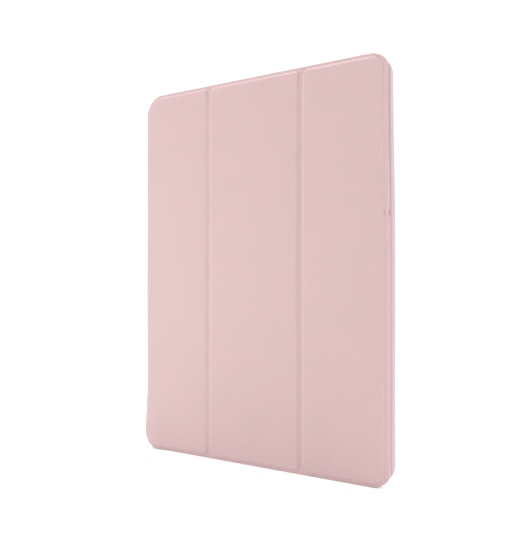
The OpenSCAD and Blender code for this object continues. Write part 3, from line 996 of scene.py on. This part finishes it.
def lean_mesh(mesh, sharp_deg):
    """Cleans a finished mesh and leans it as lean() does points."""
    bm = bmesh.new()
    bm.from_mesh(mesh)
    bmesh.ops.remove_doubles(bm, verts=bm.verts, dist=1e-6)
    bmesh.ops.dissolve_degenerate(bm, edges=bm.edges, dist=1e-6)
    for v in bm.verts:
        p = lean(np.array([[v.co.x / MM, -v.co.y / MM, v.co.z / MM]]))[0]
        v.co = (p[0] * MM, -p[1] * MM, p[2] * MM)
    bmesh.ops.recalc_face_normals(bm, faces=bm.faces)
    finish_edges(bm, sharp_deg)
    bm.to_mesh(mesh)
    bm.free()


cut_away(shell, cutters)
lean_mesh(shell.data, 38)
shell.data.materials.clear()
shell.data.materials.append(SHELL)
weigh = shell.modifiers.new("even_shading", "WEIGHTED_NORMAL")
weigh.keep_sharp = True
place(shell, "shell", "back_shell")


# ---- Buttons ----
# How far each loop of a pad is drawn in, and its height over the cavity's wall
PAD = ((-0.35, 0.0), (-0.1, 0.04), (0, 0.15), (0, 1.12), (-0.08, 1.24), (-0.3, 1.3), (-0.36, 1.42),
       (-0.36, 1.75), (-0.42, 1.92), (-0.6, 2.03), (-0.95, 2.09))
PAD_TOP = 2.1


def button(name, length, at, body, cad_node):
    """A pillowed button pad on a base that fills its window in the wall."""
    stations = [(slot_loop(length, BUTTON_WIDE, o, 8), level) for o, level in PAD]
    reach = (length - BUTTON_WIDE) / 2
    line = stations[-1][0] * (1, 0)
    line[:, 0] = np.clip(line[:, 0], -reach, reach)
    made = points_at([(line, 0.0), *stations, (line, PAD_TOP)], at)
    obj = make(name, np.concatenate(made), loft_faces(len(made), len(made[0])), SHELL, sharp_deg=60)
    return place(obj, body, cad_node)


button("power_button_pad", POWER_LONG, upright(power_x, CAVITY[3], 1), "power_key", "power_button")
for key, z in volume_z.items():
    button(key + "_pad", VOLUME_LONG, sideways(CAVITY[0], z), key + "_key", key + "_button")

# ---- Cloth sheets: each lining's flat width, and the strip that carries it on ----
LINING_INFO = {
    "free_panel": (FOLD_ONE - SEAM - FREE_X, [fold_one_lining]),
    "middle_panel": (FOLD_TWO - FOLD_ONE - 2 * SEAM, [fold_two_lining]),
    "hinge_panel": (CREASE_START - FOLD_TWO - SEAM, [crease_lining]),
}
for body, (wide, along) in LINING_INFO.items():
    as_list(along)


# ---- Floor, light and camera ----
def make_floor():
    """A wide pale floor."""
    size, cuts = 6.0, 24
    points = [(x, y, 0.0) for x in np.linspace(-size, size, cuts) for y in np.linspace(-size, size, cuts)]
    faces = [(i * cuts + j, (i + 1) * cuts + j, (i + 1) * cuts + j + 1, i * cuts + j + 1)
             for i in range(cuts - 1) for j in range(cuts - 1)]
    mesh = bpy.data.meshes.new("floor")
    mesh.from_pydata(points, [], faces)
    material, tree, shader, coords = start_material("pale_floor", 0.9, 0.2)
    base = mix_colour(tree, noise(tree, coords, 3.0, 2.0), (0.95,) * 3, (0.98,) * 3)
    tree.links.new(base, shader.inputs["Base Color"])
    mesh.materials.append(material)
    obj = bpy.data.objects.new("floor", mesh)
    bpy.context.scene.collection.objects.link(obj)


def area_light(name, place_at, aim, size, power):
    """A rectangular light, in metres and watts."""
    light = bpy.data.lights.new(name, "AREA")
    light.shape, light.size, light.size_y = "RECTANGLE", *size
    light.energy = power
    obj = bpy.data.objects.new(name, light)
    obj.location = place_at
    obj.rotation_euler = (Vector(aim) - Vector(place_at)).to_track_quat("-Z", "Y").to_euler()
    bpy.context.scene.collection.objects.link(obj)


def make_world(horizon, zenith):
    """Even light from all round, from one strength at the horizon to another overhead."""
    world = bpy.data.worlds.new("studio")
    bpy.context.scene.world = world
    world.use_nodes = True
    tree = world.node_tree
    coords = tree.nodes.new("ShaderNodeTexCoord").outputs["Generated"]
    height = node(tree, "ShaderNodeSeparateXYZ", {0: coords}).outputs[2]
    shade = mix_colour(tree, remap(tree, height, 0.05, 0.9, 0, 1), (horizon,) * 3, (zenith,) * 3)
    tree.links.new(shade, tree.nodes["Background"].inputs["Color"])


def make_camera():
    """A camera at about half the height of the case, in front of it and towards its spine."""
    azimuth, elevation = math.radians(37.01), math.radians(-0.522)
    back = Vector((math.sin(azimuth) * math.cos(elevation), -math.cos(azimuth) * math.cos(elevation),
                   math.sin(elevation)))
    data = bpy.data.cameras.new("camera")
    data.lens, data.sensor_width = 50.28, 36.0
    data.clip_start = 0.01
    obj = bpy.data.objects.new("camera", data)
    obj.location = (0.3420, -0.44725, 0.1339)
    obj.rotation_mode = "QUATERNION"
    obj.rotation_quaternion = (-back).to_track_quat("-Z", "Y")
    bpy.context.scene.collection.objects.link(obj)
    bpy.context.scene.camera = obj


make_camera()
make_floor()
make_world(1.22, 1.30)
area_light("key", (-0.75, -0.72, 0.02), (-0.05, 0, 0.1), (0.5, 0.4), 5.7)
area_light("top_strip", (-0.32, -0.06, 1.12), (-0.05, 0, 0.1), (1.0, 0.3), 6.3)
area_light("side_fill", (1.4, -0.1, 0.15), (0.1, 0, 0.14), (0.8, 0.6), 2.2)
area_light("back_fill", (0.35, 0.65, 0.95), (0.05, 0, 0.05), (0.8, 0.5), 6.0)
scene = bpy.context.scene
scene.view_settings.view_transform = "Standard"
scene.view_settings.look = "None"
